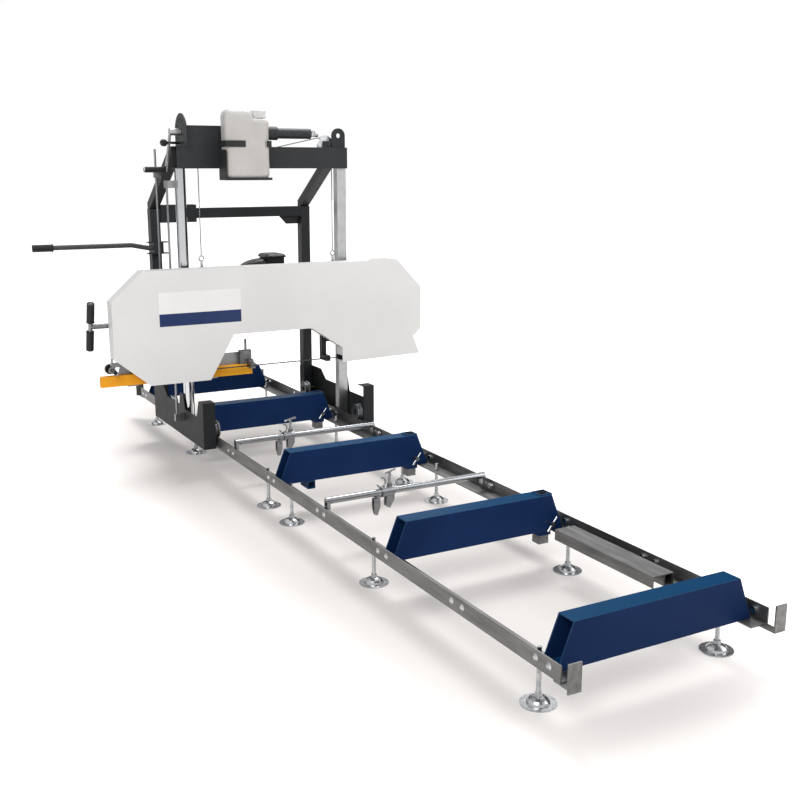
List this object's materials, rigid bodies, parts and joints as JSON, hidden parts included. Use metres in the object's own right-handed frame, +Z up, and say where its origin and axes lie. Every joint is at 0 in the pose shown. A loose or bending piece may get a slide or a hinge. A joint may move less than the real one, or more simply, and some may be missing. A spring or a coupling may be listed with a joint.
{
  "type": "portable band sawmill",
  "caption": "Levelled rail track with log bunks and a wheeled gantry whose enclosed band saw head is cranked up and down two columns.",
  "frame": {"origin": "on the ground, at the middle of the machine's footprint", "axes": "+Y along the track away from its near end, +X across the track towards the drive wheel, +Z up"},
  "size_m": [2.172, 4.76, 2],
  "materials": {
    "frame_paint": "satin anthracite powder coat",
    "guard_paint": "light grey powder coat, slightly glossy",
    "bunk_paint": "blue powder coat",
    "zinc": "zinc plated, bright",
    "chromed": "polished",
    "blade_steel": "ground",
    "orange_paint": "signal orange powder coat",
    "grip_rubber": "matt",
    "black_plastic": "matt moulded",
    "canister_plastic": "translucent natural",
    "engine_alloy": "cast",
    "wheel_iron": "machined",
    "belt_rubber": "matt"
  },
  "bodies": {
    "track": {"rails": "zinc", "rail_bolts": "zinc", "log_bunks": "bunk_paint", "crossbars": "chromed", "levelling_feet": "zinc", "end_stops": "zinc", "stored_bars": "zinc"},
    "carriage": {"base_frames": "frame_paint", "guide_columns": "chromed", "rear_frame": "frame_paint", "top_beam": "frame_paint", "winch_housing": "frame_paint", "cable_run": "zinc", "canister": "canister_plastic", "canister_tray": "frame_paint", "push_handle": "zinc", "handle_clamp": "frame_paint", "upright_rods": "zinc"},
    "head": {"guard_cover": "guard_paint", "head_frame": "frame_paint", "saw_blade": "blade_steel", "guide_plate": "zinc", "engine_block": "engine_alloy", "engine_shroud": "black_plastic", "fuel_tank": "frame_paint", "air_filter": "black_plastic", "drive_belt": "belt_rubber", "cable_shackles": "chromed", "lift_cables": "zinc"},
    "winch": {"winch_drum": "frame_paint", "crank": "frame_paint"},
    "crank_handle": {"crank_grip": "grip_rubber"},
    "index_pin": {"winch_lock": "black_plastic"},
    "pulley": {"cable_pulley": "zinc"},
    "cap": {"canister_cap": "canister_plastic"},
    "wheel_a": {"band_wheel_left": "wheel_iron"},
    "wheel_b": {"band_wheel_right": "wheel_iron", "drive_shaft": "blade_steel"},
    "engine_drive": {"engine_pulley": "wheel_iron"},
    "tension_block": {"tension_slider": "blade_steel"},
    "tension_screw": {"tension_handle": "chromed"},
    "guide_arm": {"guide_bar": "orange_paint", "guide_block": "frame_paint"},
    "guide_clamp": {"guide_lock": "black_plastic"},
    "roller_front_left": {"wheel_front_left": "wheel_iron"},
    "roller_front_right": {"wheel_front_right": "wheel_iron"},
    "roller_rear_left": {"wheel_rear_left": "wheel_iron"},
    "roller_rear_right": {"wheel_rear_right": "wheel_iron"},
    "post_near": {"log_post_near": "zinc"},
    "post_lock_near": {"post_screw_near": "chromed"},
    "post_middle": {"log_post_middle": "zinc"},
    "post_lock_middle": {"post_screw_middle": "chromed"},
    "post_far": {"log_post_far": "zinc"},
    "post_lock_far": {"post_screw_far": "chromed"},
    "clamp_near": {"clamp_body_near": "frame_paint"},
    "clamp_tightener_near": {"clamp_screw_near": "chromed"},
    "clamp_lever_near": {"clamp_dog_near": "frame_paint"},
    "clamp_far": {"clamp_body_far": "frame_paint"},
    "clamp_tightener_far": {"clamp_screw_far": "chromed"},
    "clamp_lever_far": {"clamp_dog_far": "frame_paint"}
  },
  "joints": [
    {"name": "carriage_travel", "type": "slide", "parent": "track", "child": "carriage", "axis": [0, 1, 0], "range_m": [-3.1, 0.6]},
    {"name": "head_lift", "type": "slide", "parent": "carriage", "child": "head", "axis": [0, 0, 1], "range_m": [-0.16, 0.43], "deforming": ["lift_cables"]},
    {"name": "roll_front_left", "type": "hinge", "parent": "carriage", "child": "roller_front_left", "pos_m": [-0.3185, 0.828, 0.2623], "axis": [1, 0, 0], "range_deg": [-4584, 4584]},
    {"name": "roll_front_right", "type": "hinge", "parent": "carriage", "child": "roller_front_right", "pos_m": [0.5765, 0.828, 0.2623], "axis": [1, 0, 0], "range_deg": [-4584, 4584]},
    {"name": "roll_rear_left", "type": "hinge", "parent": "carriage", "child": "roller_rear_left", "pos_m": [-0.3185, 1.59, 0.2623], "axis": [1, 0, 0], "range_deg": [-4584, 4584]},
    {"name": "roll_rear_right", "type": "hinge", "parent": "carriage", "child": "roller_rear_right", "pos_m": [0.5765, 1.59, 0.2623], "axis": [1, 0, 0], "range_deg": [-4584, 4584]},
    {"name": "winch_turn", "type": "hinge", "parent": "carriage", "child": "winch", "pos_m": [-0.341, 1.13, 1.881], "axis": [1, 0, 0], "range_deg": [-889, 889]},
    {"name": "crank_grip_spin", "type": "hinge", "parent": "winch", "child": "crank_handle", "pos_m": [-0.526, 1.23798, 1.67792], "axis": [1, 0, 0], "continuous": true},
    {"name": "index_pin_pull", "type": "slide", "parent": "winch", "child": "index_pin", "axis": [-1, 0, 0], "range_m": [0, 0.012]},
    {"name": "pulley_turn", "type": "hinge", "parent": "carriage", "child": "pulley", "pos_m": [0.524, 1.13, 1.826], "axis": [0, 1, 0], "range_deg": [-614, 614]},
    {"name": "cap_turn", "type": "hinge", "parent": "carriage", "child": "cap", "pos_m": [0.0665, 1.017, 1.9584], "axis": [0, 0, 1], "range_deg": [0, 720]},
    {"name": "tension_slide", "type": "slide", "parent": "head", "child": "tension_block", "axis": [1, 0, 0], "range_m": [0, 0.012]},
    {"name": "tension_turn", "type": "hinge", "parent": "head", "child": "tension_screw", "pos_m": [-0.913, 1.0675, 0.85], "axis": [1, 0, 0], "range_deg": [-2160, 0]},
    {"name": "band_wheel_right_spin", "type": "hinge", "parent": "head", "child": "wheel_b", "pos_m": [0.809, 0.983, 0.82], "axis": [0, 1, 0], "continuous": true},
    {"name": "band_wheel_left_spin", "type": "hinge", "parent": "tension_block", "child": "wheel_a", "pos_m": [-0.526, 0.983, 0.82], "axis": [0, 1, 0], "continuous": true},
    {"name": "engine_pulley_spin", "type": "hinge", "parent": "head", "child": "engine_drive", "pos_m": [0.229, 1.182, 0.878], "axis": [0, 1, 0], "continuous": true},
    {"name": "guide_arm_slide", "type": "slide", "parent": "head", "child": "guide_arm", "axis": [1, 0, 0], "range_m": [-0.15, 0.34]},
    {"name": "guide_lock_turn", "type": "hinge", "parent": "head", "child": "guide_clamp", "pos_m": [-0.809, 0.992, 0.6], "axis": [0, 1, 0], "range_deg": [-180, 180]},
    {"name": "post_lift_near", "type": "slide", "parent": "track", "child": "post_near", "axis": [0, 0, 1], "range_m": [0, 0.2]},
    {"name": "post_screw_turn_near", "type": "hinge", "parent": "track", "child": "post_lock_near", "pos_m": [0.463, -1.2, 0.212], "axis": [0, 1, 0], "range_deg": [-360, 360]},
    {"name": "post_lift_middle", "type": "slide", "parent": "track", "child": "post_middle", "axis": [0, 0, 1], "range_m": [0, 0.2]},
    {"name": "post_screw_turn_middle", "type": "hinge", "parent": "track", "child": "post_lock_middle", "pos_m": [0.463, -0.04, 0.212], "axis": [0, 1, 0], "range_deg": [-360, 360]},
    {"name": "post_lift_far", "type": "slide", "parent": "track", "child": "post_far", "axis": [0, 0, 1], "range_m": [0, 0.2]},
    {"name": "post_screw_turn_far", "type": "hinge", "parent": "track", "child": "post_lock_far", "pos_m": [0.463, 1.12, 0.212], "axis": [0, 1, 0], "range_deg": [-360, 360]},
    {"name": "clamp_slide_near", "type": "slide", "parent": "track", "child": "clamp_near", "axis": [1, 0, 0], "range_m": [-0.13, 0.46]},
    {"name": "clamp_screw_turn_near", "type": "hinge", "parent": "clamp_near", "child": "clamp_tightener_near", "pos_m": [0.03, -0.57907, 0.243], "axis": [0, 0, 1], "range_deg": [-360, 360]},
    {"name": "clamp_lever_turn_near", "type": "hinge", "parent": "clamp_near", "child": "clamp_lever_near", "pos_m": [-0.04, -0.57907, 0.213], "axis": [0, 1, 0], "range_deg": [-25, 60]},
    {"name": "clamp_slide_far", "type": "slide", "parent": "track", "child": "clamp_far", "axis": [1, 0, 0], "range_m": [-0.13, 0.46]},
    {"name": "clamp_screw_turn_far", "type": "hinge", "parent": "clamp_far", "child": "clamp_tightener_far", "pos_m": [0.03, 0.56979, 0.243], "axis": [0, 0, 1], "range_deg": [-360, 360]},
    {"name": "clamp_lever_turn_far", "type": "hinge", "parent": "clamp_far", "child": "clamp_lever_far", "pos_m": [-0.04, 0.56979, 0.213], "axis": [0, 1, 0], "range_deg": [-25, 60]}
  ],
  "couplings": [
    {"joint": "roll_front_left", "follows": "carriage_travel", "rad_per_m": -25},
    {"joint": "roll_front_right", "follows": "carriage_travel", "rad_per_m": -25},
    {"joint": "roll_rear_left", "follows": "carriage_travel", "rad_per_m": -25},
    {"joint": "roll_rear_right", "follows": "carriage_travel", "rad_per_m": -25},
    {"joint": "winch_turn", "follows": "head_lift", "rad_per_m": -34.483},
    {"joint": "pulley_turn", "follows": "head_lift", "rad_per_m": -23.809},
    {"joint": "tension_slide", "follows": "tension_turn", "m_per_rad": -0.00031831},
    {"joint": "band_wheel_left_spin", "follows": "band_wheel_right_spin", "ratio": 1},
    {"joint": "engine_pulley_spin", "follows": "band_wheel_right_spin", "ratio": 2.2959}
  ]
}
